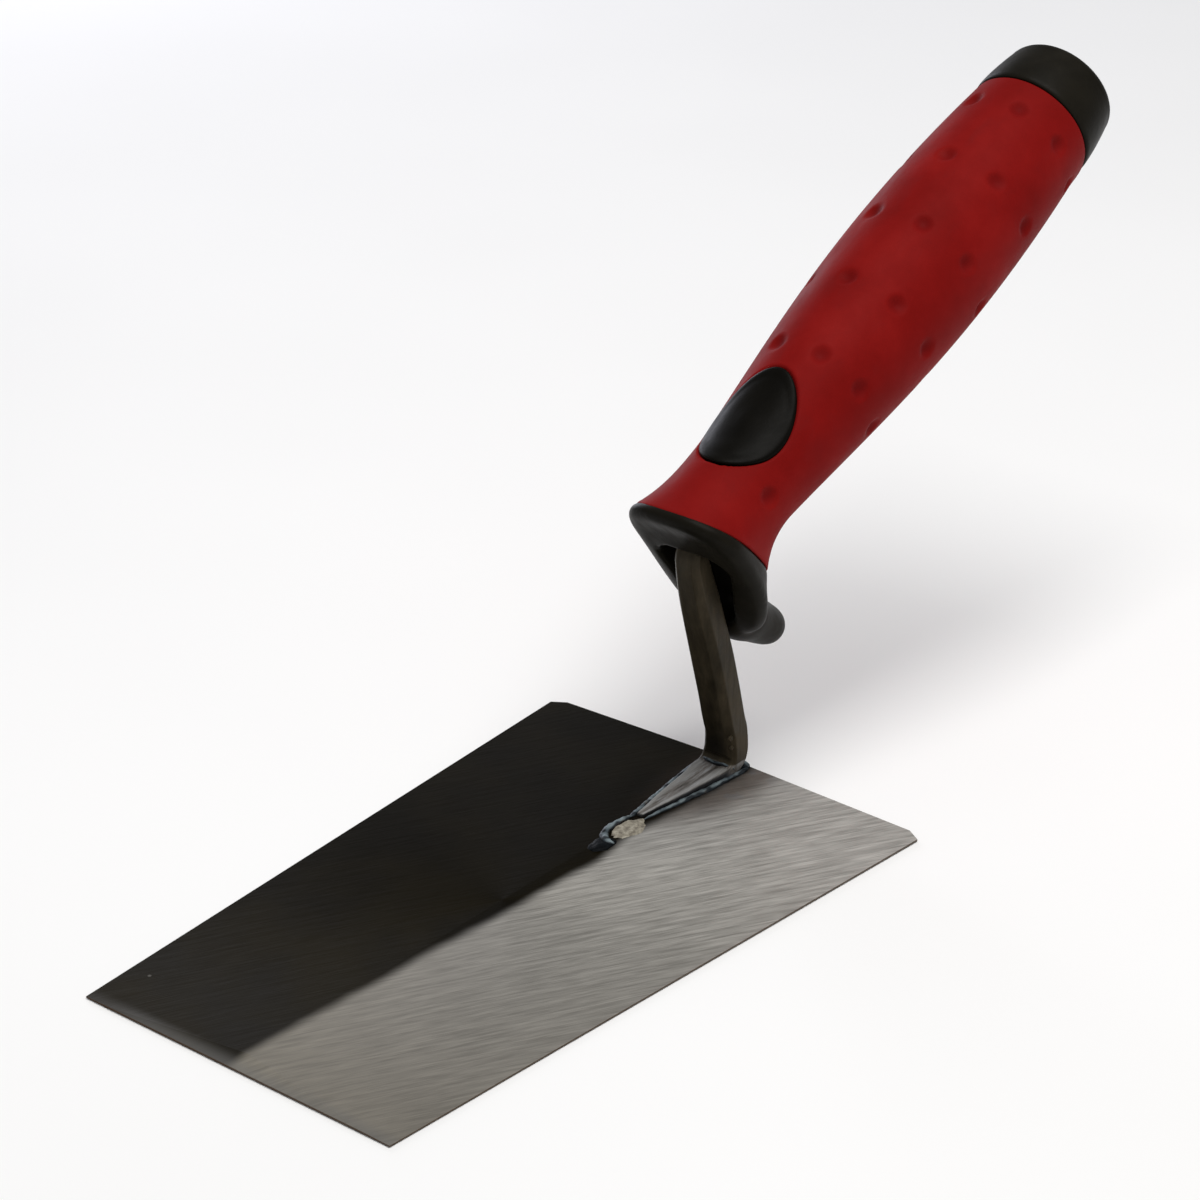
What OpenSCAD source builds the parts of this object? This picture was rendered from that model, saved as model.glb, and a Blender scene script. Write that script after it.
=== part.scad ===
// Trowel with a taper-ground trapezoid blade, a cranked tang welded to its heel,
// and a soft-grip handle with a finger guard, thumb pad and end cap.
// The origin is the centre of the blade's flat working face, +X towards the toe, +Z up.

/* [Blade] */
// Length of the blade from heel to toe
blade_l = 140; // [110:5:180]
// Width of the blade at the heel
heel_w = 91; // [70:1:110]
// Width of the blade at the toe
toe_w = 72; // [50:1:90]
// Thickness on the centre line at the heel
spine_t = 1.45; // [1.3:0.05:2.2]
// Thickness on the centre line at the toe, before its bevel
toe_spine_t = 1.1; // [1:0.05:1.3]
// Thickness along the sides at the heel
edge_t = 0.4; // [0.3:0.05:0.8]
// Length of the ground bevel along the toe
toe_bevel = 4; // [2:0.5:8]
// Length along the heel that each heel corner is clipped by
corner_clip = 3; // [1:0.5:5]

/* [Tang] */
// Half width of the tang's neck
neck_r = 3.8; // [3.4:0.1:5]
// Half width of the tang's spike at its end
spike_r = 2.2; // [1.8:0.1:2.6]
// Distance from the heel to the tip of the welded foot
foot_l = 29.5; // [22:0.5:36]
// Length of the spike inside the handle
spike_l = 72; // [50:1:95]

/* [Handle] */
// Angle of the handle above the blade
handle_angle = 26; // [18:1:32]
// Distance from the heel to the start of the handle's axis
nose_x = 12; // [8:0.5:16]
// Height of the start of the handle's axis
nose_z = 54.2; // [48:0.1:60]
// Radius of the grip at its neck
neck_grip_r = 10.7; // [9.5:0.1:12]
// Radius of the grip at its belly
belly_r = 15.5; // [14:0.1:18]
// Length from the nose to the end cap's seam
grip_l = 122; // [100:1:130]
// Length of the end cap beyond its seam
cap_l = 14; // [12:0.5:24]
// Thickness of the soft sleeve over the core
sleeve_t = 3.2; // [2:0.1:4]

/* [Guard] */
// Half width of the guard's rim
rim_w = 13; // [12:0.1:16]
// Height of the rim's top above the handle's axis
rim_top = 12; // [11:0.1:14]
// Depth of the rim's chin below the handle's axis
rim_chin = 26; // [20:0.5:30]
// Radius of the rounded bead around the rim
bead_r = 2.4; // [1.5:0.1:3]
// Radius of the knob that stops the finger
knob_r = 4; // [3:0.1:5]

/* [Dimples] */
// Diameter of a dimple's mouth
dimple_d = 4.4; // [3:0.1:6]
// Depth of a dimple
dimple_depth = 0.7; // [0.3:0.1:1.2]
// Distance between rows of dimples
dimple_pitch = 18.4; // [14:0.2:24]

/* [Hidden] */
$fn = 64;

heel_x = -blade_l / 2;
toe_x = blade_l / 2;
roll = atan(2 * (spine_t - edge_t) / heel_w);
pitch = atan((spine_t - toe_spine_t) / blade_l);
big = 200;

// Handle profile, along the axis from the nose
neck_s = 8;
belly_s = 80;
flare_end = 16;
seam_lap = 3;
tail_curve = 0.0012;
core_r = neck_grip_r - sleeve_t;
core_nose = 3;
bore_r = 2.9;
plug_r = 5;
cap_step = 0.2;
cap_end_r = 12.3;
cap_edge_r = 3;

// The butt plug's depth, and the room round the spike's end
plug_l = 12;
bore_end = spike_l + 1;

// The seam between the soft sleeve and the guard, and the line of the guard's rim
guard_seam = 0.7;
guard_seam_angle = 21;
rim_slope = 0.153;
rim_start = -3.2;
rim_hollow = 1.5;
dish_s = -1;

// The guard's recess, an oval round the tang, and the hook below it, as [x, z, radius]
recess_top = -4;
recess_top_r = 4.8;
recess_side = 3.6;
recess_foot = -17.5;
recess_foot_r = 4.5;
recess_depth = 1.8;
hook_balls = [[-33.6, 8.2, knob_r], [-25.5, 5, 3.8], [-22, 3.5, 4.5]];

// Dimples: where the first row is, and how many rows and dimples in a row
first_row = 40.4;
dimple_rows = 5;
row_dimples = 8;

// Thumb pad on top of the neck
pad_s = 22.5;
pad_half_l = 11.8;
pad_half_w = 8.4;
pad_depth = 1.6;

function lerp(a, b, u) = a + (b - a) * u;

function spine_z(x) = lerp(spine_t, toe_spine_t, (x - heel_x) / blade_l);

function grip_r(s) =
    s < neck_s ? neck_grip_r :
    s < belly_s ? lerp(neck_grip_r, belly_r, pow(sin(90 * (s - neck_s) / (belly_s - neck_s)), 1.3)) :
    belly_r - tail_curve * pow(s - belly_s, 2);

function cap_r(u) = lerp(grip_r(grip_l) + cap_step, cap_end_r, pow(u, 1.6));

// A closed solid through a list of rings with equal point counts
module skin(rings) {
    sides = len(rings[0]);
    last = len(rings) - 1;
    walls = [
        for (i = [0:last - 1], j = [0:sides - 1])
            let (k = (j + 1) % sides, a = i * sides, b = a + sides)
                each [[a + j, b + k, a + k], [a + j, b + j, b + k]]
    ];
    near_cap = [for (j = [0:sides - 1]) j];
    far_cap = [for (j = [sides - 1:-1:0]) last * sides + j];
    polyhedron([for (ring = rings) each ring], concat([near_cap, far_cap], walls));
}

// Places its children in the handle's frame: X up, Y sideways, Z towards the butt
module in_handle() {
    translate([heel_x + nose_x, 0, nose_z])
        rotate([0, handle_angle - 90, 0])
            children();
}

// ---- Blade ----

module blade_outline() {
    side_clip = corner_clip * 0.6;
    polygon([
        [toe_x, -toe_w / 2],
        [toe_x, toe_w / 2],
        [heel_x + side_clip, heel_w / 2],
        [heel_x, heel_w / 2 - corner_clip],
        [heel_x, corner_clip - heel_w / 2],
        [heel_x + side_clip, -heel_w / 2]
    ]);
}

// Everything below a plane through the point [x, 0, z]
module below(x, z, lean) {
    translate([x, 0, z])
        rotate(lean)
            translate([-big, -big, -big])
                cube([2 * big, 2 * big, big]);
}

module blade_shape() {
    bevel_angle = atan((toe_spine_t - edge_t) / toe_bevel);
    intersection() {
        linear_extrude(spine_t)
            blade_outline();
        below(heel_x, spine_t, [roll, pitch, 0]);
        below(heel_x, spine_t, [-roll, pitch, 0]);
        below(toe_x - toe_bevel, toe_spine_t, [0, bevel_angle, 0]);
    }
}

module blade() {
    color("dimgray")
        blade_shape();
}

// ---- Tang ----

// One eight-sided ring of a forged bar, square to the heading, at [x, z] from the heel
function bar_ring(x, z, half_w, half_d, heading) =
    let (c = 0.42 * min(half_w, half_d))
        [
            for (p = [
                [half_w, half_d - c], [half_w - c, half_d], [c - half_w, half_d], [-half_w, half_d - c],
                [-half_w, c - half_d], [c - half_w, -half_d], [half_w - c, -half_d], [half_w, c - half_d]
            ])
                [heel_x + x - p[1] * sin(heading), p[0], z + p[1] * cos(heading)]
        ];

// Wedge foot, lying on the blade and tapering to its tip
module tang_foot() {
    tip_z = spine_z(heel_x + foot_l);
    skin([
        bar_ring(0.6, tip_z + 1.8, neck_r, 1.7, 0),
        bar_ring(4.5, tip_z + 1.5, neck_r, 1.7, 0),
        bar_ring(foot_l * 0.4, tip_z + 1.1, 3.4, 1.4, 0),
        bar_ring(foot_l * 0.72, tip_z + 0.7, 2.1, 1, 0),
        bar_ring(foot_l, tip_z + 0.35, 0.8, 0.5, 0)
    ]);
}

// Neck, cranked up and forward from the heel to the guard, then back into the handle
module tang_neck() {
    axis_tilt = 180 - handle_angle;
    skin([
        bar_ring(1.6, 2, neck_r, 2.7, 84),
        bar_ring(1.9, 7, neck_r, 3.3, 80),
        bar_ring(3.3, 12.7, neck_r, 3.4, 76),
        bar_ring(4.9, 19, neck_r, 3.4, 75),
        bar_ring(7.6, 28.5, neck_r, 3.4, 73),
        bar_ring(11.2, 40, neck_r - 0.3, 3.3, 74),
        bar_ring(13.4, 47.6, neck_r - 0.7, 2.9, 82),
        bar_ring(13.8, 51.2, bore_r, 2.7, 112),
        bar_ring(11.4, 54.6, bore_r - 0.3, 2.5, axis_tilt)
    ]);
}

module tang_spike() {
    in_handle()
        translate([0, 0, -1])
            cylinder(h = spike_l, r1 = bore_r - 0.1, r2 = spike_r);
}

module tang_shape() {
    difference() {
        union() {
            tang_foot();
            tang_neck();
            tang_spike();
        }
        blade_shape();
    }
}

module tang() {
    color("#40372f")
        tang_shape();
}

// ---- Welds ----

// A rippled bead from one point to another on the blade, each [x from heel, y]
module bead(from, to, r_from, r_to, ripples) {
    steps = ripples * 4;
    sides = 10;
    heading = atan2(to[1] - from[1], to[0] - from[0]);
    skin([
        for (i = [0:steps])
            let (
                u = i / steps,
                end_fade = sqrt(1 - pow(2 * u - 1, 6) * 0.8),
                r = lerp(r_from, r_to, u) * end_fade * (1 + 0.1 * cos(360 * ripples * u)),
                x = lerp(from[0], to[0], u) + heel_x,
                y = lerp(from[1], to[1], u)
            )
                [
                    for (j = [0:sides - 1])
                        let (a = 360 * j / sides)
                            [
                                x - r * cos(a) * sin(heading),
                                y + r * cos(a) * cos(heading),
                                spine_z(x) + 0.2 * r + r * sin(a) * 0.8
                            ]
                ]
    ]);
}

module fused(tint) {
    color(tint)
        difference() {
            children();
            blade_shape();
            tang_shape();
        }
}

module weld_left() {
    fused("#2f3238")
        bead([2, neck_r + 0.6], [foot_l + 1, 1.6], 2.1, 1.5, 9);
}

module weld_right() {
    fused("#2f3238")
        bead([2, -neck_r - 0.6], [foot_l + 1, -1.4], 2.1, 1.5, 9);
}

module weld_heel() {
    fused("#2f3238")
        bead([0.9, 3.4], [0.9, -3.4], 1.2, 1.2, 3);
}

module weld_toe() {
    difference() {
        fused("#26262a")
            bead([foot_l + 0.5, 0], [foot_l + 14, 2.6], 2.6, 1.4, 3);
        bead([2, neck_r + 0.6], [foot_l + 1, 1.6], 2.1, 1.5, 9);
        bead([2, -neck_r - 0.6], [foot_l + 1, -1.4], 2.1, 1.5, 9);
    }
}

// ---- Handle ----

// Half space in the handle's frame, on the butt side of a seam at s on the axis
module behind(s, lean) {
    translate([0, 0, s])
        rotate([0, lean, 0])
            translate([-big, -big, 0])
                cube(2 * big);
}

// One oval ring of the nose: u is 0 at the rim and 1 where the round grip starts
function nose_ring(u, inset, forward) =
    let (
        sides = 48,
        squareness = lerp(1, 0.78, pow(1 - u, 2)),
        r_end = grip_r(flare_end) - neck_grip_r
    )
        [
            for (j = [0:sides - 1])
                let (
                    a = 360 * j / sides,
                    c = cos(a),
                    s = sin(a),
                    f = pow(1 - u, 2.9 + 0.7 * c),
                    reach = lerp(neck_grip_r, c > 0 ? rim_top : rim_chin, f) - inset,
                    half_w = lerp(neck_grip_r, rim_w, f) - inset,
                    x = reach * sign(c) * pow(abs(c), squareness) + r_end * u * c,
                    y = half_w * sign(s) * pow(abs(s), squareness) + r_end * u * s,
                    hollow = rim_hollow * (1 - pow((x + 6) / 18, 2)),
                    rim_s = rim_start - rim_slope * x + hollow - forward
                )
                    [x, y, lerp(rim_s, flare_end, u)]
        ];

// The nose of the handle, from the front of the guard to the start of the round grip
module nose() {
    bead_rings = [
        for (b = [75:-25:0])
            nose_ring(0, bead_r * (1 - cos(b)), bead_r * sin(b))
    ];
    dish_ring = [
        for (p = bead_rings[0])
            [0.3 * p[0] - 4, 0.3 * p[1], dish_s]
    ];
    flare_rings = [
        for (i = [1:8])
            nose_ring(i / 8, 0, 0)
    ];
    skin(concat([dish_ring], bead_rings, flare_rings));
}

module core_shape() {
    rotate_extrude()
        polygon([
            [0, core_nose],
            [core_r - 0.5, core_nose],
            [core_r, core_nose + 1],
            for (s = [20:20:100]) [grip_r(s) - sleeve_t, s],
            [grip_r(grip_l) - sleeve_t, grip_l],
            [0, grip_l]
        ]);
}

module handle_core() {
    color("#1b1b1a")
        difference() {
            in_handle()
                difference() {
                    core_shape();
                    translate([0, 0, grip_l - plug_l])
                        cylinder(h = plug_l + 1, r = plug_r);
                    cylinder(h = bore_end, r = bore_r);
                }
            tang_shape();
        }
}

module round_grip() {
    rotate_extrude()
        polygon([
            [0, flare_end - seam_lap],
            for (s = [flare_end - seam_lap:6.5:grip_l + 1]) [grip_r(s), s],
            [grip_r(grip_l + 4), grip_l + 4],
            [0, grip_l + 4]
        ]);
}

// Dimples in staggered rows: eight round the grip in each row
module dimples() {
    ball_r = (pow(dimple_d / 2, 2) + pow(dimple_depth, 2)) / (2 * dimple_depth);
    step = 360 / row_dimples;
    for (row = [0:dimple_rows - 1], k = [0:row_dimples - 1]) {
        s = first_row + row * dimple_pitch;
        twist = row % 2 == 0 ? step / 2 : 0;
        rotate([0, 0, step * k + twist])
            translate([grip_r(s) + ball_r - dimple_depth, 0, s])
                sphere(r = ball_r);
    }
}

// The egg-shaped column that cuts the thumb pad out of the grip's surface
module pad_column(grow) {
    translate([neck_grip_r - 7, 0, pad_s])
        rotate([0, 90, 0])
            linear_extrude(20)
                polygon([
                    for (a = [0:15:345])
                        let (egg = 1 + 0.06 * cos(a))
                            [(pad_half_l + grow) * cos(a), (pad_half_w * egg + grow) * sin(a)]
                ]);
}

module pad_bed() {
    translate([0, 0, pad_s - 2 * pad_half_l])
        rotate_extrude()
            polygon([
                for (s = [0:6:4 * pad_half_l]) [grip_r(s + pad_s - 2 * pad_half_l) - pad_depth, s],
                [0, 4 * pad_half_l],
                [0, 0]
            ]);
}

module grip_sleeve() {
    color("#8c1a17")
        in_handle()
            difference() {
                union() {
                    intersection() {
                        nose();
                        behind(guard_seam, guard_seam_angle);
                    }
                    round_grip();
                }
                core_shape();
                behind(grip_l, 0);
                dimples();
                difference() {
                    pad_column(0);
                    pad_bed();
                }
            }
}

module thumb_pad() {
    color("#242422")
        in_handle()
            difference() {
                intersection() {
                    pad_column(-0.05);
                    union() {
                        nose();
                        round_grip();
                    }
                }
                pad_bed();
            }
}

// Oval recess in the front of the guard, round the tang
module guard_recess() {
    reach = 15;
    translate([0, 0, recess_depth - reach])
        hull() {
            for (side = [-1, 1])
                translate([recess_top, recess_side * side, 0])
                    cylinder(h = reach, r = recess_top_r, $fn = 32);
            translate([recess_foot, 0, 0])
                cylinder(h = reach, r = recess_foot_r, $fn = 32);
        }
}

module hook() {
    hull()
        for (ball = hook_balls)
            translate([ball[0], 0, ball[1]])
                sphere(r = ball[2], $fn = 24);
}

module finger_guard() {
    color("#1e1e1c")
        difference() {
            in_handle()
                difference() {
                    union() {
                        difference() {
                            nose();
                            behind(guard_seam, guard_seam_angle);
                        }
                        hook();
                    }
                    guard_recess();
                    core_shape();
                }
            tang_shape();
        }
}

module end_cap() {
    side_l = cap_l - cap_edge_r;
    color("#1e1e1c")
        in_handle()
            translate([0, 0, grip_l]) {
                rotate_extrude()
                    polygon([
                        [0, 0],
                        for (i = [0:5]) [cap_r(i / 5), i * side_l / 5],
                        for (a = [22.5:22.5:90])
                            [cap_end_r - cap_edge_r * (1 - cos(a)), side_l + cap_edge_r * sin(a)],
                        [0, cap_l]
                    ]);
                translate([0, 0, -plug_l])
                    cylinder(h = plug_l + 2, r = plug_r);
            }
}

blade();
tang();
weld_left();
weld_right();
weld_heel();
weld_toe();
handle_core();
grip_sleeve();
thumb_pad();
finger_guard();
end_cap();
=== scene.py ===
"""Looks of the trowel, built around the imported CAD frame. Lengths in the shape code are millimetres."""

import math

import bmesh
import bpy
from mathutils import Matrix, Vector, noise


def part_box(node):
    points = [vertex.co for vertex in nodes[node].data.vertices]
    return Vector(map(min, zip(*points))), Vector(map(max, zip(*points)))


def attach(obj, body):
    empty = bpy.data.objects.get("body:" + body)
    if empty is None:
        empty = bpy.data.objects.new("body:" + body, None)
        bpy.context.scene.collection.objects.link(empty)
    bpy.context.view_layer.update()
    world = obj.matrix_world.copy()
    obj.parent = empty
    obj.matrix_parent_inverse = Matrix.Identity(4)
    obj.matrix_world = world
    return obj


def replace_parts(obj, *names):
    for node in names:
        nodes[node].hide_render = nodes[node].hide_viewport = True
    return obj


MM = 0.001
TAU = 2 * math.pi

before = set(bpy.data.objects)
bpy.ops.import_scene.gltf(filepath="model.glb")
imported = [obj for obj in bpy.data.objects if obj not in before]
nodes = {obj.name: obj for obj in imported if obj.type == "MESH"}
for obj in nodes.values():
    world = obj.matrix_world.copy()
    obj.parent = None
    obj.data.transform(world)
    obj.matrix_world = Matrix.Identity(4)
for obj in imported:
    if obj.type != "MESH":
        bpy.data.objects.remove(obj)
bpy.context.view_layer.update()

HEEL_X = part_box("blade")[0].x / MM
TOE_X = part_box("blade")[1].x / MM
SPINE_HEEL_Z, SPINE_TOE_Z = 1.45, 1.1

# The handle's frame: t up, y sideways, s along the axis towards the butt
HANDLE_ANGLE = math.radians(26)
NOSE = Vector((HEEL_X + 12, 0, 54.2))
T_AXIS = Vector((math.sin(HANDLE_ANGLE), 0, math.cos(HANDLE_ANGLE)))
S_AXIS = Vector((-math.cos(HANDLE_ANGLE), 0, math.sin(HANDLE_ANGLE)))
Y_AXIS = Vector((0, 1, 0))

NECK_R, BELLY_R = 10.7, 15.5
NECK_S, BELLY_S, FLARE_END = 8, 80, 16
BELLY_POWER, BUTT_TAPER = 1.3, 0.0012
GRIP_L, CAP_L = 122, 14
CAP_R, CAP_ROUND, PLUG_R, PLUG_L = 12.3, 3, 5, 11.5
SLEEVE_T = 3.2
RIM_W, RIM_TOP, RIM_CHIN, BEAD_R = 13, 12, 26, 2.4
# The rim's plane, how far it is dished, and how square its outline is
RIM_S, RIM_TAN, RIM_DISH, RIM_SQUARE = -3.2, 0.153, 1.5, 0.78
FLARE_POWER, FLARE_TURN = 2.9, 0.7
GUARD_SEAM, SEAM_TAN, SEAM_BOW = 0.7, math.tan(math.radians(21)), 1.1
PAD_S, PAD_L, PAD_W, PAD_DEPTH = 22.0, 12.3, 8.4, 1.6
PAD_EGG = 0.10  # how much wider the pad is towards the nose
DIMPLE_R, DIMPLE_DEPTH = 2.4, 0.95
DIMPLE_ROWS, ROW_DIMPLES = 5, 8
FIRST_ROW, ROW_PITCH = 40.4, 18.4
NECK_DIMPLE_S, NECK_DIMPLE_TURN = 10.8, 70
GUARD_VOXEL, GUARD_FINE_VOXEL, GUARD_SMOOTHING = 0.0005, 0.00036, 22

# The tang's foot, and the weld beads: how flat they are, how many radii their middle lies above the
# blade, and how uneven they are
FOOT_L = 29.5
BEAD_SQUASH, BEAD_RISE, BEAD_ROUGH = 0.8, 0.1, 0.3

# The camera and its lens were fitted to the photo's view
CAMERA_PLACE = (0.40057, 0.34974, 0.31417)
CAMERA_AIM = (-0.7004, -0.5710, -0.4284)
LENS, SENSOR = 100.34, 36
FLOOR_HALF, FLOOR_Z = 6, -0.0002


# ---- Small helpers ----


def lerp(a, b, u):
    return a + (b - a) * u


def clamp(x, low=0.0, high=1.0):
    return min(max(x, low), high)


def smooth(low, high, x):
    u = clamp((x - low) / (high - low))
    return u * u * (3 - 2 * u)


def in_handle(t, y, s):
    return NOSE + T_AXIS * t + Y_AXIS * y + S_AXIS * s


def spine_z(x_from_heel):
    """The height of the blade's top on its centre line."""
    return lerp(SPINE_HEEL_Z, SPINE_TOE_Z, x_from_heel / (TOE_X - HEEL_X))


def make(name, points, faces, material, values=None):
    """A mesh piece from points in millimetres, with smooth faces and outward normals."""
    mesh = bpy.data.meshes.new(name)
    mesh.from_pydata([Vector(p) * MM for p in points], [], faces)
    for key, numbers in (values or {}).items():
        mesh.attributes.new(key, "FLOAT", "POINT").data.foreach_set("value", numbers)
    piece = bpy.data.objects.new(name, mesh)
    bpy.context.scene.collection.objects.link(piece)
    finish_mesh(piece)
    if material:
        mesh.materials.append(material)
        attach(piece, "root")
    return piece


def finish_mesh(piece):
    bm = bmesh.new()
    bm.from_mesh(piece.data)
    bmesh.ops.recalc_face_normals(bm, faces=bm.faces)
    bm.to_mesh(piece.data)
    bm.free()
    piece.data.polygons.foreach_set("use_smooth", [True] * len(piece.data.polygons))
    piece.data.update()


def ring_faces(rings, closed=False):
    """Faces of a tube through rings of equal point counts."""
    sides = len(rings[0])
    last = len(rings) if closed else len(rings) - 1
    faces = []
    for i in range(last):
        a, b = i * sides, (i + 1) % len(rings) * sides
        for j in range(sides):
            k = (j + 1) % sides
            faces.append((a + j, a + k, b + k, b + j))
    if not closed:
        faces.append(tuple(range(sides - 1, -1, -1)))
        faces.append(tuple(range(last * sides, (last + 1) * sides)))
    return faces


def loft(name, rings, material, closed=False, values=None):
    points = [p for ring in rings for p in ring]
    return make(name, points, ring_faces(rings, closed), material, values)


def add_modifier(piece, kind, **settings):
    modifier = piece.modifiers.new(kind.lower(), kind)
    for key, value in settings.items():
        setattr(modifier, key, value)
    return modifier


def bake_modifiers(piece):
    """Applies the piece's modifiers to its mesh."""
    graph = bpy.context.evaluated_depsgraph_get()
    mesh = bpy.data.meshes.new_from_object(piece.evaluated_get(graph), depsgraph=graph)
    piece.modifiers.clear()
    piece.data = mesh


def catmull(rows, steps):
    """Rows of numbers, smoothly interpolated with a number of steps between each pair."""
    out = []
    for i in range(len(rows) - 1):
        p = [rows[max(i - 1, 0)], rows[i], rows[i + 1], rows[min(i + 2, len(rows) - 1)]]
        for k in range(steps):
            u = k / steps
            out.append(
                [
                    0.5 * (2 * b + (c - a) * u + (2 * a - 5 * b + 4 * c - d) * u * u
                           + (3 * b - a - 3 * c + d) * u**3)
                    for a, b, c, d in zip(*p)
                ]
            )
    return out + [list(rows[-1])]


# ---- Materials ----


class Look:
    """A node material: the shader's own sockets hold what is constant, and nodes make the rest."""

    def __init__(self, name, **sockets):
        self.material = bpy.data.materials.new(name)
        self.material.use_nodes = True
        self.tree = self.material.node_tree
        self.shader = self.tree.nodes["Principled BSDF"]
        for key, value in sockets.items():
            self.shader.inputs[key.replace("_", " ")].default_value = value
        self.place = self.node("ShaderNodeTexCoord").outputs["Object"]

    def node(self, kind, inputs=None, **settings):
        made = self.tree.nodes.new(kind)
        for key, value in settings.items():
            setattr(made, key, value)
        for key, value in (inputs or {}).items():
            if isinstance(value, bpy.types.NodeSocket):
                self.tree.links.new(value, made.inputs[key])
            else:
                made.inputs[key].default_value = value
        return made

    def turned(self, angle=0.0, scale=(1, 1, 1)):
        """The place, turned about Z and stretched."""
        turn = self.node("ShaderNodeMapping", {"Vector": self.place, "Rotation": (0, 0, angle)})
        size = self.node("ShaderNodeMapping", {"Vector": turn.outputs[0], "Scale": scale})
        return size.outputs[0]

    def noise(self, scale, detail=4.0, roughness=0.55, vector=None):
        made = self.node(
            "ShaderNodeTexNoise",
            {"Vector": vector or self.place, "Scale": scale, "Detail": detail, "Roughness": roughness},
        )
        return made.outputs["Fac"]

    def math(self, operation, a, b=0.0):
        return self.node("ShaderNodeMath", {0: a, 1: b}, operation=operation).outputs[0]

    def span(self, value, low, high, to_low=0.0, to_high=1.0, kind="SMOOTHSTEP"):
        made = self.node(
            "ShaderNodeMapRange",
            {"Value": value, "From Min": low, "From Max": high, "To Min": to_low, "To Max": to_high},
            interpolation_type=kind,
        )
        return made.outputs[0]

    def mix(self, factor, a, b):
        made = self.node("ShaderNodeMix", data_type="RGBA")
        for index, value in ((0, factor), (6, a), (7, b)):
            if isinstance(value, bpy.types.NodeSocket):
                self.tree.links.new(value, made.inputs[index])
            else:
                made.inputs[index].default_value = value
        return made.outputs[2]

    def ramp(self, factor, *stops):
        made = self.node("ShaderNodeValToRGB", {"Fac": factor})
        line = made.color_ramp
        while len(line.elements) < len(stops):
            line.elements.new(0.5)
        for element, (at, colour) in zip(line.elements, stops):
            element.position = at
            element.color = colour
        return made.outputs["Color"]

    def axis(self, index):
        return self.node("ShaderNodeSeparateXYZ", {"Vector": self.place}).outputs[index]

    def attribute(self, name):
        return self.node("ShaderNodeAttribute", attribute_name=name).outputs["Fac"]

    def blob(self, centre, radii, soft=0.5):
        """1 inside an ellipsoid, given in millimetres, fading to 0 at its edge."""
        scale = [1 / (r * MM) for r in radii]
        shift = [-c * MM * k for c, k in zip(centre, scale)]
        made = self.node("ShaderNodeMapping", {"Vector": self.place, "Location": shift, "Scale": scale})
        length = self.node("ShaderNodeVectorMath", {0: made.outputs[0]}, operation="LENGTH").outputs["Value"]
        return self.span(length, soft, 1.0, 1.0, 0.0)

    def specks(self, scale, size, channel, rarity):
        """Dust: 1 at the middle of the few cells whose random colour is over the rarity."""
        cells = self.node("ShaderNodeTexVoronoi", {"Vector": self.place, "Scale": scale}).outputs
        chance = self.node("ShaderNodeSeparateColor", {0: cells["Color"]}).outputs[channel]
        kept = self.math("GREATER_THAN", chance, rarity)
        return self.math("MULTIPLY", self.span(cells["Distance"], 0.03, size, 1, 0), kept)

    def bump(self, height, distance, strength=1.0, normal=None):
        inputs = {"Height": height, "Distance": distance, "Strength": strength}
        if normal:
            inputs["Normal"] = normal
        return self.node("ShaderNodeBump", inputs).outputs[0]

    def set(self, **sources):
        for key, value in sources.items():
            self.tree.links.new(value, self.shader.inputs[key.replace("_", " ")])
        return self.material


def grey(value, warm=0.0):
    return (value * (1 + warm), value, value * (1 - 2 * warm), 1)


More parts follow.
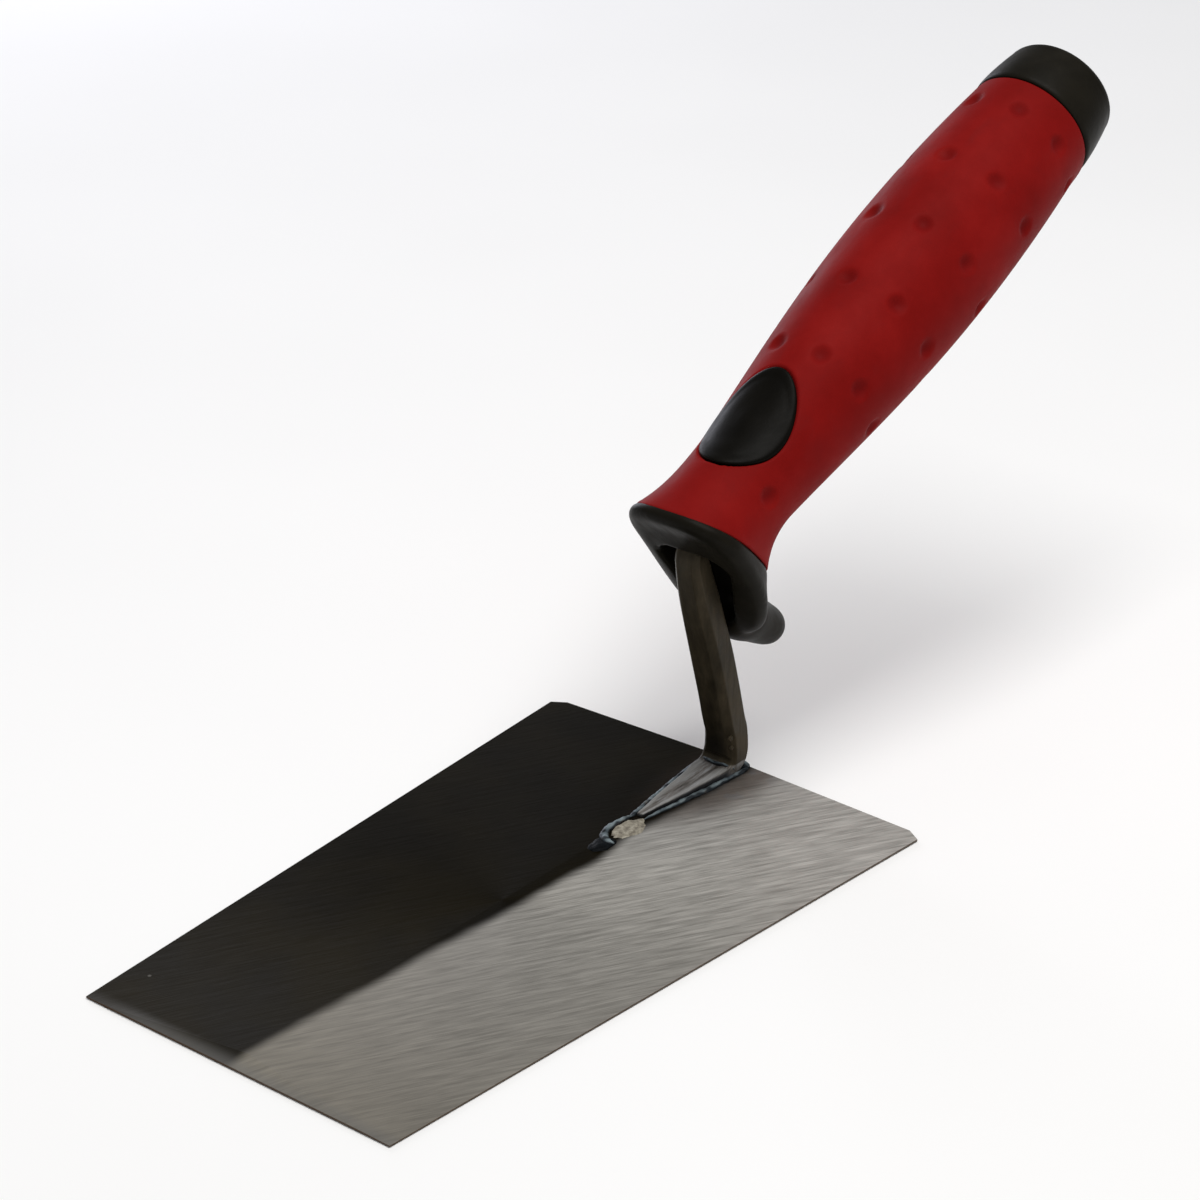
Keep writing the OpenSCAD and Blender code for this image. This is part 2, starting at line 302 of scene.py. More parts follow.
def blade_look():
    look = Look("ground_steel", Specular_IOR_Level=0.12, Specular_Tint=(0.6, 0.6, 0.6, 1), Anisotropic=0.4)
    x, y, z = (look.axis(i) for i in range(3))
    # Grinding marks run aslant, over both halves
    aslant = math.radians(29)
    fine = look.noise(1.0, 3, 0.6, look.turned(aslant, (150, 3400, 40)))
    broad = look.noise(1.0, 3, 0.6, look.turned(aslant, (75, 1100, 20)))
    cloud = look.noise(38, 3, 0.5)
    marks = look.math("ADD", look.math("MULTIPLY", fine, 0.45), look.math("MULTIPLY", broad, 0.55))
    # The ridge that parts the two ground faces, where the painted dark reflection meets the painted bright
    # one
    wander = look.math("MULTIPLY", look.math("SUBTRACT", look.noise(70, 2), 0.5), 0.0022)
    ridge = look.math("ADD", look.math("MULTIPLY", x, 0.0577), -0.0035)
    near_weld = look.span(x, -0.033, -0.022, 0.0016, 0)
    side = look.math("ADD", look.math("ADD", y, ridge), look.math("ADD", wander, near_weld))
    bright_reflection_side = look.span(side, -0.0019, 0.0015)
    # Bright face: a painted bright reflection, grey, a little warmer and darker towards the toe
    along = look.span(x, -0.05, 0.07, kind="LINEAR")
    bright = look.mix(along, grey(0.49, 0.03), grey(0.232, 0.09))
    scored = look.mix(0.42, bright, grey(0.08, 0.08))
    bright = look.mix(look.span(marks, 0.38, 0.62, kind="LINEAR"), scored, bright)
    # Dark face: a painted dark reflection, paler near the toe
    dark = look.mix(look.span(x, 0.0, 0.07), grey(0.006, 0.3), grey(0.017, 0.12))
    dark = look.mix(look.span(cloud, 0.35, 0.7, 0, 0.4), dark, grey(0.018, 0.3))
    # The two halves' painted reflections, parted at the ridge
    face = look.mix(bright_reflection_side, dark, bright)
    # The toe's bevel, painted lighter as a painted reflection of its tilted face
    rim = look.math("MULTIPLY", look.span(x, 0.0665, 0.0702), look.span(y, -0.036, -0.02, 0.35, 1.0))
    face = look.mix(look.math("MULTIPLY", rim, 0.55), face, grey(0.17, 0.03))
    # Heat tint beside the weld
    heat = look.blob((HEEL_X + 2, 2.0, 1.4), (36, 12.5, 9), 0.5)
    tint = look.ramp(
        look.noise(180, 3),
        (0.3, (0.05, 0.032, 0.022, 1)), (0.55, (0.10, 0.072, 0.055, 1)), (0.75, (0.07, 0.08, 0.10, 1)),
    )
    face = look.mix(look.math("MULTIPLY", heat, look.span(bright_reflection_side, 0, 1, 0.25, 0.72)), face, tint)
    # Dust specks
    speck = look.specks(120.0, 0.05, 0, 0.93)
    face = look.mix(look.math("MULTIPLY", speck, 0.35), face, grey(0.25, 0.05))
    # Sheared edges are brown
    facing = look.node("ShaderNodeNewGeometry").outputs["True Normal"]
    upright = look.node("ShaderNodeSeparateXYZ", {"Vector": facing}).outputs[2]
    edge = look.span(look.math("ABSOLUTE", upright), 0.5, 0.7, 1, 0)
    face = look.mix(look.math("MULTIPLY", edge, 0.85), face, (0.075, 0.045, 0.028, 1))
    under = look.math("LESS_THAN", upright, -0.5)
    below = look.mix(look.span(marks, 0.35, 0.68), grey(0.2, 0.03), grey(0.36, 0.02))
    face = look.mix(under, face, below)
    rough = look.span(marks, 0.3, 0.7, 0.42, 0.56)
    metal = look.span(look.math("SUBTRACT", bright_reflection_side, under), 0, 1, 0.95, 0.6)
    normal = look.bump(marks, 0.00012, 0.35)
    return look.set(Base_Color=face, Roughness=rough, Metallic=metal, Normal=normal)


def tang_look():
    look = Look("forged_steel", Metallic=0.2, Specular_IOR_Level=0.09)
    along = look.noise(1.0, 4, 0.6, look.turned(0, (520, 520, 60)))
    patch = look.noise(150, 5, 0.6)
    pits = look.noise(900, 3, 0.6)
    colour = look.ramp(
        look.math("ADD", look.math("MULTIPLY", along, 0.5), look.math("MULTIPLY", patch, 0.5)),
        (0.32, (0.021, 0.017, 0.011, 1)), (0.5, (0.043, 0.034, 0.021, 1)), (0.68, (0.075, 0.058, 0.036, 1)),
    )
    # The foot is paler, with a weld's haze and streaks along it
    z = look.axis(2)
    foot = look.span(z, 0.0033, 0.0037, 1, 0)
    streaks = look.noise(1.0, 5, 0.7, look.turned(0, (150, 1300, 200)))
    pale = look.ramp(
        streaks,
        (0.34, (0.04, 0.037, 0.034, 1)), (0.5, (0.16, 0.146, 0.132, 1)), (0.66, (0.31, 0.315, 0.32, 1)),
    )
    colour = look.mix(look.math("MULTIPLY", foot, 0.85), colour, pale)
    # Painted highlight along the ridges either side of the foot's valley
    ridge = look.span(look.attribute("ridge"), 0.3, 0.9)
    ridge_highlight = look.math("MULTIPLY", ridge, look.math("MULTIPLY", foot, 0.6))
    colour = look.mix(ridge_highlight, colour, (0.34, 0.34, 0.33, 1))
    # Painted shadow of the seam along the foot's edges
    outline = look.attribute("outline")
    colour = look.mix(look.math("MULTIPLY", outline, 0.9), colour, (0.012, 0.014, 0.018, 1))
    # Darker low on the neck's front, where it bends into the foot
    dark_bend = look.blob((HEEL_X + 6.5, -0.5, 6.5), (3.6, 4.4, 4.5), 0.3)
    colour = look.mix(look.math("MULTIPLY", dark_bend, 0.85), colour, (0.010, 0.009, 0.007, 1))
    normal = look.bump(pits, 0.00008, 0.5, look.bump(along, 0.00025, 0.5))
    return look.set(Base_Color=colour, Roughness=look.span(patch, 0.3, 0.7, 0.36, 0.56), Normal=normal)


def weld_look(name, pale):
    look = Look(name, Metallic=0.3 * pale, Specular_IOR_Level=0.03 + 0.14 * pale)
    blotch = look.noise(260, 4, 0.6)
    fine = look.noise(1400, 3)
    crest_highlight = look.attribute("crest_highlight")
    soft = 0.2 + 0.8 * pale
    dark = look.ramp(
        blotch,
        (0.35, (0.008 * soft, 0.010 * soft, 0.012 * soft, 1)),
        (0.6, (0.026 * soft, 0.033 * soft, 0.040 * soft, 1)),
        (0.75, (0.06 * soft, 0.04 * soft, 0.028 * soft, 1)),
    )
    # Painted highlight colours, for the bead's top
    light = look.ramp(
        blotch,
        (0.35, (0.06, 0.08, 0.095, 1)), (0.6, (0.20, 0.245, 0.26, 1)), (0.8, (0.28, 0.26, 0.22, 1)),
    )
    # Painted highlight along the bead's top; lower down the bead keeps its dark colour, partly the weld's own
    # and partly painted shade in the groove beside it
    colour = look.mix(look.math("MULTIPLY", look.span(crest_highlight, 0.45, 0.95), pale), dark, light)
    normal = look.bump(fine, 0.00010, 0.5, look.bump(blotch, 0.0004, 0.4))
    return look.set(Base_Color=colour, Roughness=look.span(blotch, 0.3, 0.7, 0.4, 0.6), Normal=normal)


def flux_look():
    look = Look("flux_crust", Specular_IOR_Level=0.3)
    grain = look.noise(900, 4, 0.65)
    colour = look.ramp(
        grain,
        (0.3, (0.10, 0.085, 0.065, 1)), (0.5, (0.26, 0.235, 0.185, 1)), (0.7, (0.42, 0.39, 0.32, 1)),
    )
    rough = look.span(grain, 0, 1, 0.7, 0.95)
    return look.set(Base_Color=colour, Roughness=rough, Normal=look.bump(grain, 0.0004, 0.8))


def rubber_look():
    look = Look(
        "red_rubber", Specular_IOR_Level=0.028, Sheen_Weight=0.01, Sheen_Roughness=0.45,
        Sheen_Tint=(0.72, 0.62, 0.95, 1),
    )
    mottle = look.noise(55, 4, 0.6)
    grain = look.noise(2600, 2)
    smear = look.noise(1.0, 4, 0.6, look.turned(0, (70, 180, 70)))
    colour = look.ramp(
        mottle,
        (0.3, (0.165, 0.0046, 0.0038, 1)),
        (0.5, (0.198, 0.0058, 0.0050, 1)),
        (0.7, (0.235, 0.0082, 0.0070, 1)),
    )
    colour = look.mix(look.span(smear, 0.52, 0.75, 0, 0.35), colour, (0.16, 0.010, 0.010, 1))
    # Painted shade in the dimples, darkest where they are deepest
    hollow = look.attribute("hollow")
    colour = look.mix(look.math("MULTIPLY", hollow, 0.35), colour, (0.085, 0.004, 0.005, 1))
    speck = look.specks(150.0, 0.055, 1, 0.95)
    colour = look.mix(look.math("MULTIPLY", speck, 0.6), colour, (0.45, 0.25, 0.24, 1))
    normal = look.bump(grain, 0.00004, 0.6, look.bump(mottle, 0.0003, 0.25))
    return look.set(Base_Color=colour, Roughness=look.span(smear, 0.3, 0.7, 0.5, 0.62), Normal=normal)


def plastic_look(name, level, rough):
    look = Look(name, Specular_IOR_Level=0.045)
    mottle = look.noise(90, 4, 0.6)
    grain = look.noise(2200, 2)
    colour = look.mix(look.span(mottle, 0.3, 0.7), grey(level, 0.15), grey(level * 1.6, 0.15))
    scuff = look.noise(1.0, 5, 0.7, look.turned(0.5, (160, 420, 160)))
    colour = look.mix(look.span(scuff, 0.58, 0.8, 0, 0.3), colour, grey(level * 3, 0.05))
    normal = look.bump(grain, 0.00004, 0.5, look.bump(mottle, 0.0003, 0.2))
    roughness = look.span(scuff, 0.3, 0.75, rough - 0.05, rough + 0.08)
    return look.set(Base_Color=colour, Roughness=roughness, Normal=normal)


def floor_look():
    look = Look("pale_floor", Specular_IOR_Level=0.1)
    colour = look.mix(look.span(look.noise(3, 3), 0.3, 0.7), grey(0.93), grey(0.96))
    return look.set(Base_Color=colour, Roughness=look.span(look.noise(8, 3), 0, 1, 0.8, 0.95))


# ---- Handle surfaces ----


def grip_r(s):
    """The round grip's radius along its axis."""
    if s < NECK_S:
        return NECK_R
    if s < BELLY_S:
        return lerp(NECK_R, BELLY_R, math.sin(math.pi / 2 * (s - NECK_S) / (BELLY_S - NECK_S)) ** BELLY_POWER)
    return BELLY_R - BUTT_TAPER * (s - BELLY_S) ** 2


def nose_point(u, angle, inset=0.0, forward=0.0):
    """A point of the nose as (t, y, s). u is 0 at the guard's rim and 1 where the round grip starts."""
    c, s = math.cos(angle), math.sin(angle)
    squareness = lerp(1, RIM_SQUARE, (1 - u) ** 2)
    spread = grip_r(FLARE_END) - NECK_R
    f = (1 - u) ** (FLARE_POWER + FLARE_TURN * c)
    reach = lerp(NECK_R, RIM_TOP if c > 0 else RIM_CHIN, f) - inset
    half_w = lerp(NECK_R, RIM_W, f) - inset
    t = reach * math.copysign(abs(c) ** squareness, c) + spread * u * c
    y = half_w * math.copysign(abs(s) ** squareness, s) + spread * u * s
    hollow = RIM_DISH * (1 - ((t + 6) / 18) ** 2)
    rim_s = RIM_S - RIM_TAN * t + hollow - forward
    return t, y, lerp(rim_s, FLARE_END, u)


def seam_u(angle):
    """Where the seam between the sleeve and the guard crosses the nose at an angle."""
    low, high = 0.0, 1.0
    for _ in range(30):
        u = (low + high) / 2
        t, _y, s = nose_point(u, angle)
        bow = SEAM_BOW * max(math.cos(angle), 0) ** 2
        if s > GUARD_SEAM - SEAM_TAN * t - bow:
            high = u
        else:
            low = u
    return high


def dimple_places():
    """Two dimples beside the neck, then staggered rows of them: (s, angle)."""
    places = [(NECK_DIMPLE_S, math.radians(a)) for a in (NECK_DIMPLE_TURN, -NECK_DIMPLE_TURN)]
    step = 360 / ROW_DIMPLES
    for row in range(DIMPLE_ROWS):
        twist = step / 2 if row % 2 == 0 else 0
        places += [(FIRST_ROW + ROW_PITCH * row, math.radians(step * k + twist)) for k in range(ROW_DIMPLES)]
    return places


DIMPLES = dimple_places()


def dimple_press(s, angle, radius):
    """How deep a dimple presses the surface in here."""
    depth = 0.0
    for at, turn in DIMPLES:
        if abs(s - at) > DIMPLE_R:
            continue
        swing = (angle - turn + math.pi) % TAU - math.pi
        d = math.hypot(s - at, radius * swing) / DIMPLE_R
        if d < 1:
            depth += DIMPLE_DEPTH * (1 - d * d) ** 1.5
    return depth


def pad_reach(s, y):
    """0 at the thumb pad's centre and 1 at its outline."""
    turn = math.atan2(y / PAD_W, (PAD_S - s) / PAD_L)
    return math.hypot((s - PAD_S) / PAD_L, y / (PAD_W * (1 + PAD_EGG * math.cos(turn))))


def pressed(t, y, s, angle):
    """A surface point after its dimple and the pad's bed, with how hollow it is there."""
    radius = math.hypot(t, y)
    dimple = dimple_press(s, angle, radius)
    bed = 0.0
    if t > 0 and abs(s - PAD_S) < PAD_L + 2 and abs(y) < PAD_W + 2:
        outside = (pad_reach(s, y) - 1) * PAD_W
        bed = PAD_DEPTH * smooth(0.35, -0.25, outside) if outside < 0.35 else 0.0
    # A soft lip under the butt end, where the sleeve meets the cap
    lip = 0.55 * smooth(116, 121, s) * smooth(-0.35, -0.9, t / radius) if s > 116 else 0.0
    k = (radius - dimple - bed + lip) / radius
    return t * k, y * k, s, dimple / DIMPLE_DEPTH


def sleeve(material):
    columns = 216
    angles = [TAU * j / columns for j in range(columns)]
    seams = [seam_u(a) for a in angles]
    # How deep each point's dimple is, which the rubber uses for painted shade
    rings, hollow = [], []

    def add(row):
        rings.append([in_handle(*p[:3]) for p in row])
        hollow.extend(p[3] if len(p) > 3 else 0.0 for p in row)

    # From the seam with the guard to the round grip, with a small round on the edge
    for step, inset in [(0.0, 0.5), (0.0, 0.18), (0.012, 0.04)] + [(k / 40, 0) for k in range(1, 41)]:
        row = []
        for a, start in zip(angles, seams):
            t, y, s = nose_point(lerp(start, 1, step), a)
            k = 1 - inset / math.hypot(t, y)
            row.append(pressed(t * k, y * k, s, a))
        add(row)
    s = FLARE_END + 0.45
    while s < GRIP_L - 0.5:
        add([pressed(grip_r(s) * math.cos(a), grip_r(s) * math.sin(a), s, a) for a in angles])
        s += 0.45 if s < PAD_S + PAD_L + 2 else 0.6
    for s, inset in ((GRIP_L - 0.35, 0.05), (GRIP_L - 0.12, 0.2), (GRIP_L - 0.05, 0.6)):
        r = grip_r(s) - inset
        add([pressed(r * math.cos(a), r * math.sin(a), s, a) for a in angles])
    # The bore, back to the nose
    for s in (GRIP_L - 0.05, 90, 60, 35, 20, 10):
        r = grip_r(s) - SLEEVE_T
        add([(r * math.cos(a), r * math.sin(a), s) for a in angles])
    r = NECK_R - SLEEVE_T
    add([(r * math.cos(a), r * math.sin(a), GUARD_SEAM - SEAM_TAN * r * math.cos(a) + 0.4) for a in angles])
    return loft("soft_grip", rings, material, closed=True, values={"hollow": hollow})


def top_t(s, y):
    """The height of the grip's top surface over its axis."""
    if s < FLARE_END:
        low, high = 0.0, 1.0
        for _ in range(24):
            u = (low + high) / 2
            if nose_point(u, 0)[2] < s:
                low = u
            else:
                high = u
        radius = nose_point(low, 0)[0]
    else:
        radius = grip_r(s)
    return math.sqrt(radius * radius - y * y)


def thumb_pad(material):
    sectors, rows = 96, 22
    # How far out and how far down: the top, a rounded rim, then the side into the sleeve's bed
    profile = [(k / rows * 0.985, 0.0) for k in range(1, rows)]
    profile += [(0.975, 0.0), (0.99, 0.12), (0.993, 0.4), (0.993, 1.3)]
    points, faces = [], []

    def place(reach, angle, down):
        s = PAD_S - PAD_L * reach * math.cos(angle)
        y = PAD_W * (1 + PAD_EGG * math.cos(angle)) * reach * math.sin(angle)
        dish = 0.55 * (1 - smooth(0.25, 0.93, reach))
        rise = 0.22 * smooth(0.8, 0.95, reach)
        return in_handle(top_t(s, y) - dish + rise - down, y, s)

    points.append(place(0, 0, 0))
    for reach, down in profile:
        points += [place(reach, TAU * j / sectors, down) for j in range(sectors)]
    for j in range(sectors):
        faces.append((0, 1 + j, 1 + (j + 1) % sectors))
    for i in range(len(profile) - 1):
        a = 1 + i * sectors
        for j in range(sectors):
            k = (j + 1) % sectors
            faces.append((a + j, a + sectors + j, a + sectors + k, a + k))
    base = 1 + (len(profile) - 1) * sectors
    faces.append(tuple(base + j for j in range(sectors)))
    piece = make("thumb_pad_soft", points, faces, material)
    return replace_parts(piece, "thumb_pad")


def ball_chain(balls, steps=10):
    """Rings of a round body through balls of (t, s, radius) on the plane y = 0."""
    rows = catmull(balls, steps)
    rings = []
    count = len(rows)
    for i, (t, s, r) in enumerate(rows):
        before, after = rows[max(i - 1, 0)], rows[min(i + 1, count - 1)]
        heading = math.atan2(after[1] - before[1], after[0] - before[0])
        for end in ((90, 60, 30) if i == 0 else (0,) if i < count - 1 else (0, 30, 60, 85)):
            lean = math.radians(end)
            push = r * math.sin(lean) * (-1 if i == 0 else 1)
            rr = r * math.cos(lean) + 0.02
            ring = []
            for j in range(32):
                a = TAU * j / 32
                across = rr * math.cos(a)
                ring.append(
                    in_handle(
                        t + push * math.cos(heading) - across * math.sin(heading),
                        rr * math.sin(a),
                        s + push * math.sin(heading) + across * math.cos(heading),
                    )
                )
            rings.append(ring)
    return rings


def guard(material):
    columns = 160
    angles = [TAU * j / columns for j in range(columns)]
    seams = [seam_u(a) for a in angles]
    rings = []
    # The front, from inside the dish over the bead to the flare
    steep = math.radians(80)
    for inward in (0.25, 0.5, 0.7, 0.85, 0.94):
        row = []
        for a in angles:
            t, y, s = nose_point(0, a, BEAD_R * (1 - math.cos(steep)), BEAD_R * math.sin(steep))
            dip = 0.55 * (1 - smooth(0.6, 1.0, inward))
            row.append(in_handle(lerp(-4, t, inward), y * inward, lerp(-4.9, s, inward**2) + dip))
        rings.append(row)
    for b in range(80, -1, -10):
        lean = math.radians(b)
        row = [nose_point(0, a, BEAD_R * (1 - math.cos(lean)), BEAD_R * math.sin(lean)) for a in angles]
        rings.append([in_handle(*p) for p in row])
    for step in range(1, 15):
        rings.append([in_handle(*nose_point(start * step / 14, a)) for a, start in zip(angles, seams)])
    row = [nose_point(start, a) for a, start in zip(angles, seams)]
    for shrink in (0.97, 0.8):
        inner = [(t * shrink, y * shrink) for t, y, s in row]
        rings.append([in_handle(t, y, GUARD_SEAM - SEAM_TAN * t) for t, y in inner])
    body = loft("finger_guard_body", rings, None)
    # (t, s, radius) down to the knob
    knob = [(-18.0, 2.4, 5.4), (-23.6, 2.6, 5.7), (-29.0, 5.3, 4.7), (-33.6, 8.0, 4.1)]
    hook = loft("hook", ball_chain(knob), None)
    # The recess round the tang, narrowing inwards: its corners are (t, y, radius), its levels (s, margin)
    rings = []
    corners = [(-4.4, 3.4, 4.4), (-4.4, -3.4, 4.4), (-17.5, 0.0, 4.3)]
    for s, grow in ((-12, 1.6), (-6.0, 1.5), (-4.6, 0.8), (-3.0, 0.2), (1.2, -0.3), (2.4, -0.9), (2.9, -2.0)):
        ring = []
        for j in range(96):
            a = TAU * j / 96
            c, n = math.cos(a), math.sin(a)
            t, y, r = max(corners, key=lambda ball: ball[0] * c + ball[1] * n + ball[2])
            spread = grow if grow < 0 else grow * smooth(0.75, 0.1, c)
            ring.append(in_handle(t + (r + spread) * c, y + (r + spread) * n, s))
        rings.append(ring)
    recess = loft("recess", rings, None)
    bpy.context.view_layer.update()
    both = bmesh.new()
    both.from_mesh(body.data)
    both.from_mesh(hook.data)
    both.to_mesh(body.data)
    both.free()
    add_modifier(body, "REMESH", mode="VOXEL", voxel_size=GUARD_VOXEL)
    bake_modifiers(body)
    add_modifier(body, "BOOLEAN", object=recess, operation="DIFFERENCE", solver="EXACT")
    bake_modifiers(body)
    add_modifier(body, "REMESH", mode="VOXEL", voxel_size=GUARD_FINE_VOXEL)
    add_modifier(body, "SMOOTH", factor=0.5, iterations=GUARD_SMOOTHING)
    bake_modifiers(body)
    for helper in (hook, recess):
        bpy.data.objects.remove(helper)
    finish_mesh(body)
    body.data.materials.append(material)
    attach(body, "root")
    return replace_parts(body, "finger_guard")


def end_cap(material):
    start = grip_r(GRIP_L) + 0.2
    # (radius, distance past the grip's end), from the plug's end round to the middle of the butt
    profile = [(0, -PLUG_L), (PLUG_R, -PLUG_L), (PLUG_R, 0.15)]
    profile += [(start - 0.9, 0.15), (start - 0.35, 0.08), (start - 0.08, 0.3)]
    for k in range(1, 23):
        u = k / 22
        profile.append((lerp(start, CAP_R, u**1.6), 0.6 + u * (CAP_L - CAP_ROUND - 0.6)))
    for a in range(10, 91, 10):
        lean = math.radians(a)
        out, along = CAP_ROUND * (1 - math.cos(lean)), CAP_ROUND * math.sin(lean) * 0.93
        profile.append((CAP_R - out, CAP_L - CAP_ROUND + along))
    for r in (8.6, 7.6, 6, 4, 2, 0.0):
        profile.append((r, CAP_L - 0.21 + 0.2 * (1 - r / 9.3)))
    columns = 120
    angles = [TAU * j / columns for j in range(columns)]
    rings = []
    for r, s in profile:
        r = max(r, 0.02)
        rings.append([in_handle(r * math.cos(a), r * math.sin(a), GRIP_L + s) for a in angles])
    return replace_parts(loft("butt_cap", rings, material), "end_cap")


# ---- Tang and welds ----


def bar_ring(x, z, half_w, half_d, heading):
    """A ring of a forged bar: eight flats, with rounded corners."""
    c = 0.42 * min(half_w, half_d)
    corners = [
        (half_w, half_d - c), (half_w - c, half_d), (c - half_w, half_d), (-half_w, half_d - c),
        (-half_w, c - half_d), (c - half_w, -half_d), (half_w - c, -half_d), (half_w, c - half_d),
    ]
    ring = []
    lean = math.radians(heading)
    for i, (p, q) in enumerate(corners):
        before, after = corners[i - 1], corners[(i + 1) % 8]
        # The middle of the flat before, then the corner's own three points
        around = [(lerp(p, before[0], share), lerp(q, before[1], share)) for share in (0.5, 0.08)]
        around.append((0.96 * p + 0.02 * (before[0] + after[0]), 0.96 * q + 0.02 * (before[1] + after[1])))
        around.append((lerp(p, after[0], 0.08), lerp(q, after[1], 0.08)))
        for a, b in around:
            ring.append(Vector((HEEL_X + x - b * math.sin(lean), a, z + b * math.cos(lean))))
    return ring


def tang(material):
    tip = spine_z(FOOT_L)
    # (x from the heel, z, half width, half thickness, heading in degrees): the foot, its turn at the
    # heel, the neck and the bend into the handle
    rows = [
        (FOOT_L, tip + 0.2, 0.7, 0.4, 180), (25.5, tip + 0.3, 1.3, 0.5, 180),
        (21.2, tip + 0.4, 2.0, 0.6, 180), (16, tip + 0.5, 2.7, 0.7, 180),
        (11.8, tip + 0.6, 3.2, 0.8, 180), (8.2, tip + 0.75, 3.9, 0.95, 180),
        (5.6, tip + 0.9, 4.0, 1.1, 176), (3.5, tip + 1.6, 4.1, 2.2, 138), (2.2, tip + 3.6, 4.0, 3.1, 96),
        (2.3, 9.5, 3.8, 3.35, 78), (3.3, 12.7, 3.8, 3.4, 76), (4.9, 19, 3.8, 3.4, 75),
        (7.6, 28.5, 3.8, 3.4, 73), (11.2, 40, 3.5, 3.3, 74), (13.4, 47.6, 3.1, 2.9, 82),
        (13.8, 51.2, 2.9, 2.7, 112), (11.4, 54.6, 2.6, 2.5, 154),
    ]
    for k in (10, 30, 60):
        half = 2.5 - 0.01 * k
        rows.append((11.4 - k * math.cos(HANDLE_ANGLE), 54.6 + k * math.sin(HANDLE_ANGLE), half, half, 154))
    rings, outline, ridge = [], [], []
    for x, z, half_w, half_d, heading in catmull(rows, 6):
        ring = bar_ring(x, z, half_w, half_d, heading)
        for p in ring:
            wobble = noise.noise(Vector((p.x * 0.35, p.y * 0.5, p.z * 0.16)))
            p.y += 0.09 * wobble
            p.x += 0.07 * wobble
            on_foot = smooth(5, 7.5, x) if z < 4 else 0.0
            across = abs(p.y) / max(half_w, 0.1)
            # Where the painted shadow of the seam along the foot's edges goes
            outline.append(on_foot * smooth(0.86, 1.0, across))
            # Where the painted highlight along the foot's ridges goes
            ridge.append(on_foot * smooth(0.35, 0.7, across) * smooth(1.0, 0.86, across))
            if on_foot and p.z > z:
                p.z -= 0.4 * on_foot * min(half_w / 3.8, 1) * (1 - smooth(0.0, 0.75, across))
        rings.append(ring)
    piece = loft("tang_bar", rings, material, values={"outline": outline, "ridge": ridge})
    add_modifier(piece, "WEIGHTED_NORMAL", keep_sharp=True)
    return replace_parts(piece, "tang")


def bead(name, path, ripples, material, rise=BEAD_RISE):
    """A rippled weld bead along a path of (x from the heel, y, radius), lying on the blade."""
    rows = catmull(path, 14)
    rings, crest_highlight = [], []
    count = len(rows)
    for i, (x, y, r) in enumerate(rows):
        before, after = rows[max(i - 1, 0)], rows[min(i + 1, count - 1)]
        heading = math.atan2(after[1] - before[1], after[0] - before[0])
        u = i / (count - 1)
        fade = math.sqrt(max(1 - (2 * u - 1) ** 8 * 0.92, 0.02))
        wave = 0.5 + 0.5 * math.cos(TAU * ripples * u)
        ring = []
        for j in range(20):
            a = TAU * j / 20
            uneven = noise.noise(Vector((x * 1.1, y * 1.1 + math.cos(a), math.sin(a) * 1.3 + 3)))
            radius = r * fade * (0.95 + 0.05 * wave + BEAD_ROUGH * uneven)
            ring.append(
                Vector(
                    (
                        HEEL_X + x - radius * math.cos(a) * math.sin(heading),
                        y + radius * math.cos(a) * math.cos(heading),
                        max(spine_z(x) - 0.3, spine_z(x) + rise * r + radius * math.sin(a) * BEAD_SQUASH),
                    )
                )
            )
            # The top of the bead gets a painted highlight, flecked by glints; its sides and underside keep
            # the dark colour, which stands partly for painted shade
            glint = noise.noise(Vector((x * 0.55 + 9, y * 0.9, math.cos(a) * 0.6)))
            crest_highlight.append(clamp(0.25 + 0.75 * math.sin(a)) * clamp(0.78 + 0.12 * wave + 0.75 * glint))
        rings.append(ring)
    return loft(name, rings, material, values={"crest_highlight": crest_highlight})


def lump(name, x, y, z, radii, material, seed):
    """A small rough blob."""
    bm = bmesh.new()
    bmesh.ops.create_icosphere(bm, subdivisions=4, radius=1)
    points = []
    for v in bm.verts:
        broad = noise.noise(v.co * 1.7 + Vector((seed, 0, 0)))
        fine = noise.noise(v.co * 4 + Vector((0, seed, 0)))
        k = 1 + 0.22 * broad + 0.1 * fine
        points.append(Vector([c + p * r * k for c, p, r in zip((HEEL_X + x, y, z), v.co, radii)]))
    faces = [tuple(v.index for v in f.verts) for f in bm.faces]
    # Painted highlight: lighter towards the top
    crest_highlight = [clamp(0.4 + 0.6 * v.co.z) for v in bm.verts]
    bm.free()
    return make(name, points, faces, material, {"crest_highlight": crest_highlight})


# ---- Build ----

red = rubber_look()
black = plastic_look("black_plastic", 0.0068, 0.38)
pad_black = plastic_look("pad_rubber", 0.0026, 0.40)
forged = tang_look()
weld = weld_look("weld_metal", 1.0)
burnt = weld_look("burnt_weld", 0.0)

blade = nodes["blade"]
blade.data.materials.clear()
blade.data.materials.append(blade_look())
core = nodes["handle_core"]
core.data.materials.clear()
core.data.materials.append(plastic_look("core_plastic", 0.012, 0.5))

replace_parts(sleeve(red), "grip_sleeve")
thumb_pad(pad_black)
guard(black)
end_cap(black)
tang(forged)

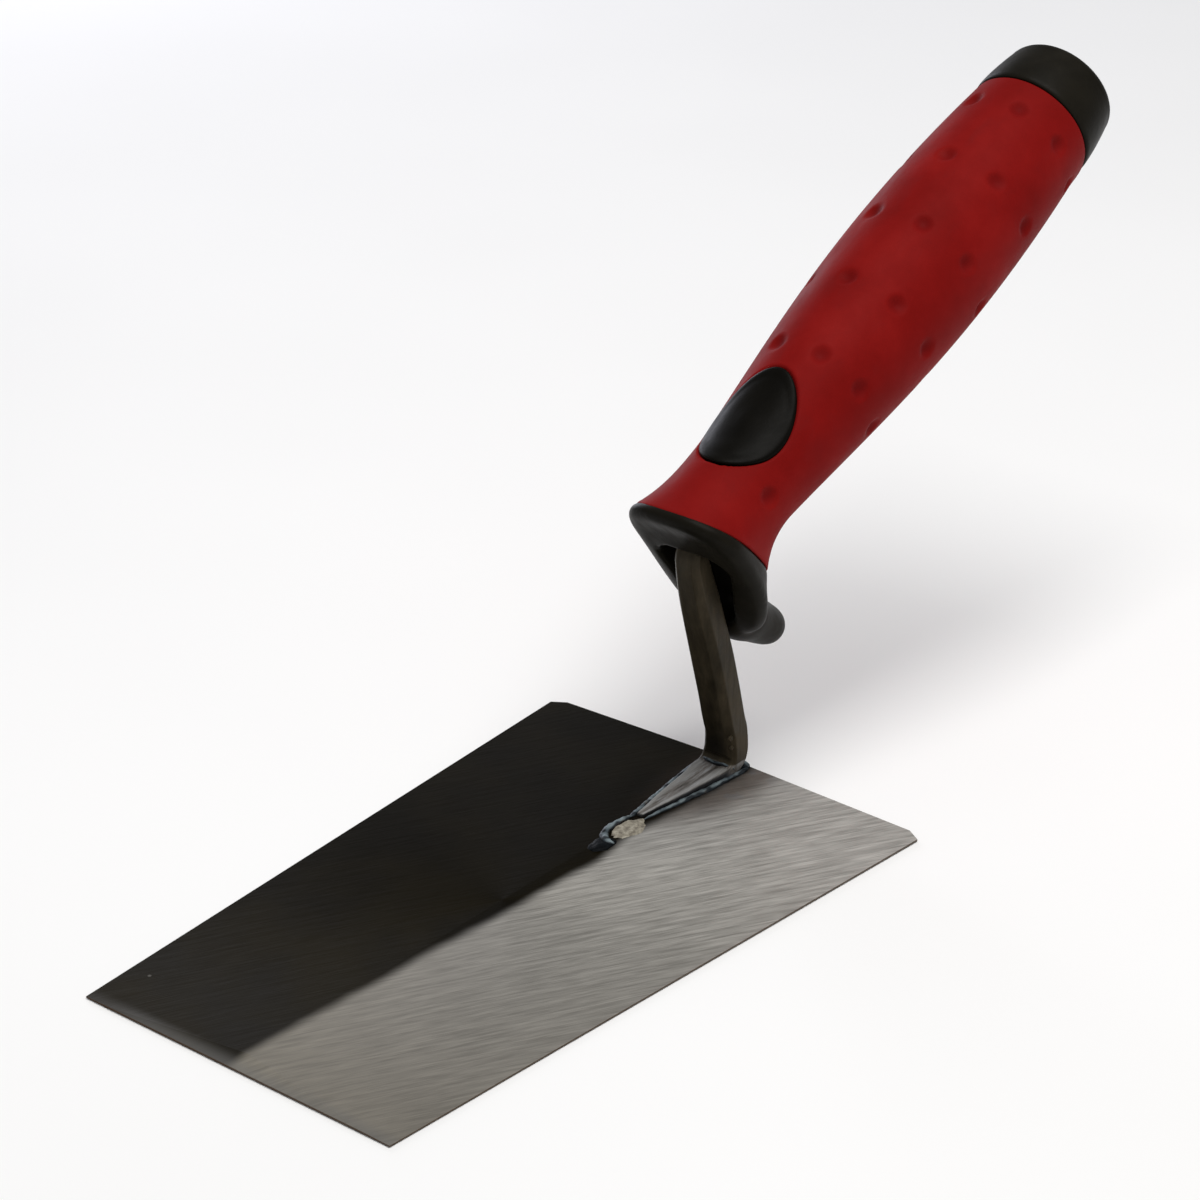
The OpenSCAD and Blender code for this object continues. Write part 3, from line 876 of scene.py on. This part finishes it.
# The beads' paths: (x from the heel, y, radius)
left = [
    (1.2, 4.6, 0.7), (4, 4.5, 0.6), (8, 4.2, 0.62), (13, 3.75, 0.66),
    (18, 3.1, 0.6), (22, 2.6, 0.55), (26, 2.0, 0.5), (30, 1.5, 0.3),
]
right = [
    (1.2, -4.6, 0.9), (8, -4.2, 0.7), (15, -3.4, 0.66),
    (22, -2.4, 0.62), (27, -1.7, 0.6), (31, -1.2, 0.5),
]
heel = [(0.9, 4.6, 1.0), (0.6, 2, 1.1), (0.6, -2, 1.1), (0.9, -4.6, 1.0)]
toe = [
    (30.5, -1.3, 0.5), (34, -1.7, 0.6), (37.5, -1.5, 0.75),
    (40.0, -0.3, 0.85), (41.2, 1.3, 0.8), (41.0, 3.0, 0.5),
]
root = [(4.9, 4.15, 0.3), (5.7, 2.2, 0.42), (6.0, 0, 0.4), (5.8, -2, 0.42), (4.9, -4.15, 0.3)]
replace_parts(bead("bead_left", left, 17, weld), "weld_left")
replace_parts(bead("bead_right", right, 17, weld), "weld_right")
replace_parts(bead("bead_heel", heel, 4, weld), "weld_heel")
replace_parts(bead("bead_toe", toe, 7, weld), "weld_toe")
lump("weld_pool", 42.6, 1.2, 1.0, (3.4, 2.2, 0.75), burnt, 3.1)
lump("flux_patch", 34.9, 1.3, 1.0, (6.3, 3.1, 0.5), flux_look(), 8.4)
# The weld across the root of the neck lies on top of the foot
bead("bead_root", root, 5, weld, rise=4.6)
lump("spatter_a", 5.2, 3.2, 9.4, (0.6, 0.4, 0.7), forged, 1.7)
lump("spatter_b", 4.9, 3.3, 7.2, (0.45, 0.4, 0.5), forged, 5.2)

# ---- Floor, light and camera ----


def area_light(name, place, target, size, power, colour=(1, 1, 1)):
    data = bpy.data.lights.new(name, "AREA")
    data.shape = "RECTANGLE"
    data.size, data.size_y = size
    data.energy = power
    data.color = colour
    light = bpy.data.objects.new(name, data)
    light.location = place
    light.rotation_euler = (Vector(target) - Vector(place)).to_track_quat("-Z", "Y").to_euler()
    bpy.context.scene.collection.objects.link(light)


floor_mesh = bpy.data.meshes.new("floor")
floor_corners = [(x * FLOOR_HALF, y * FLOOR_HALF, FLOOR_Z) for x, y in ((-1, -1), (1, -1), (1, 1), (-1, 1))]
floor_mesh.from_pydata(floor_corners, [], [(0, 1, 2, 3)])
floor = bpy.data.objects.new("floor", floor_mesh)
floor_mesh.materials.append(floor_look())
bpy.context.scene.collection.objects.link(floor)

area_light("side_softbox", (-0.55, -1.0, 0.26), (-0.08, 0, 0.07), (0.6, 0.5), 4, (0.88, 0.89, 1))
area_light("top_softbox", (-0.05, 0.26, 1.22), (-0.03, 0, 0.03), (0.9, 0.9), 13.4, (1, 0.985, 0.96))
area_light("warm_fill", (-0.2, 1.1, 0.3), (-0.05, 0, 0.05), (0.6, 0.4), 0.3, (1, 0.8, 0.58))

world = bpy.data.worlds.new("studio")
bpy.context.scene.world = world
world.use_nodes = True
world.node_tree.nodes["Background"].inputs["Color"].default_value = (0.95, 0.97, 1, 1)
world.node_tree.nodes["Background"].inputs["Strength"].default_value = 0.27

bpy.context.scene.view_settings.view_transform = "Standard"
camera_data = bpy.data.cameras.new("camera")
camera_data.lens = LENS
camera_data.sensor_width = SENSOR
camera = bpy.data.objects.new("camera", camera_data)
camera.location = CAMERA_PLACE
camera.rotation_euler = Vector(CAMERA_AIM).to_track_quat("-Z", "Y").to_euler()
bpy.context.scene.collection.objects.link(camera)
bpy.context.scene.camera = camera
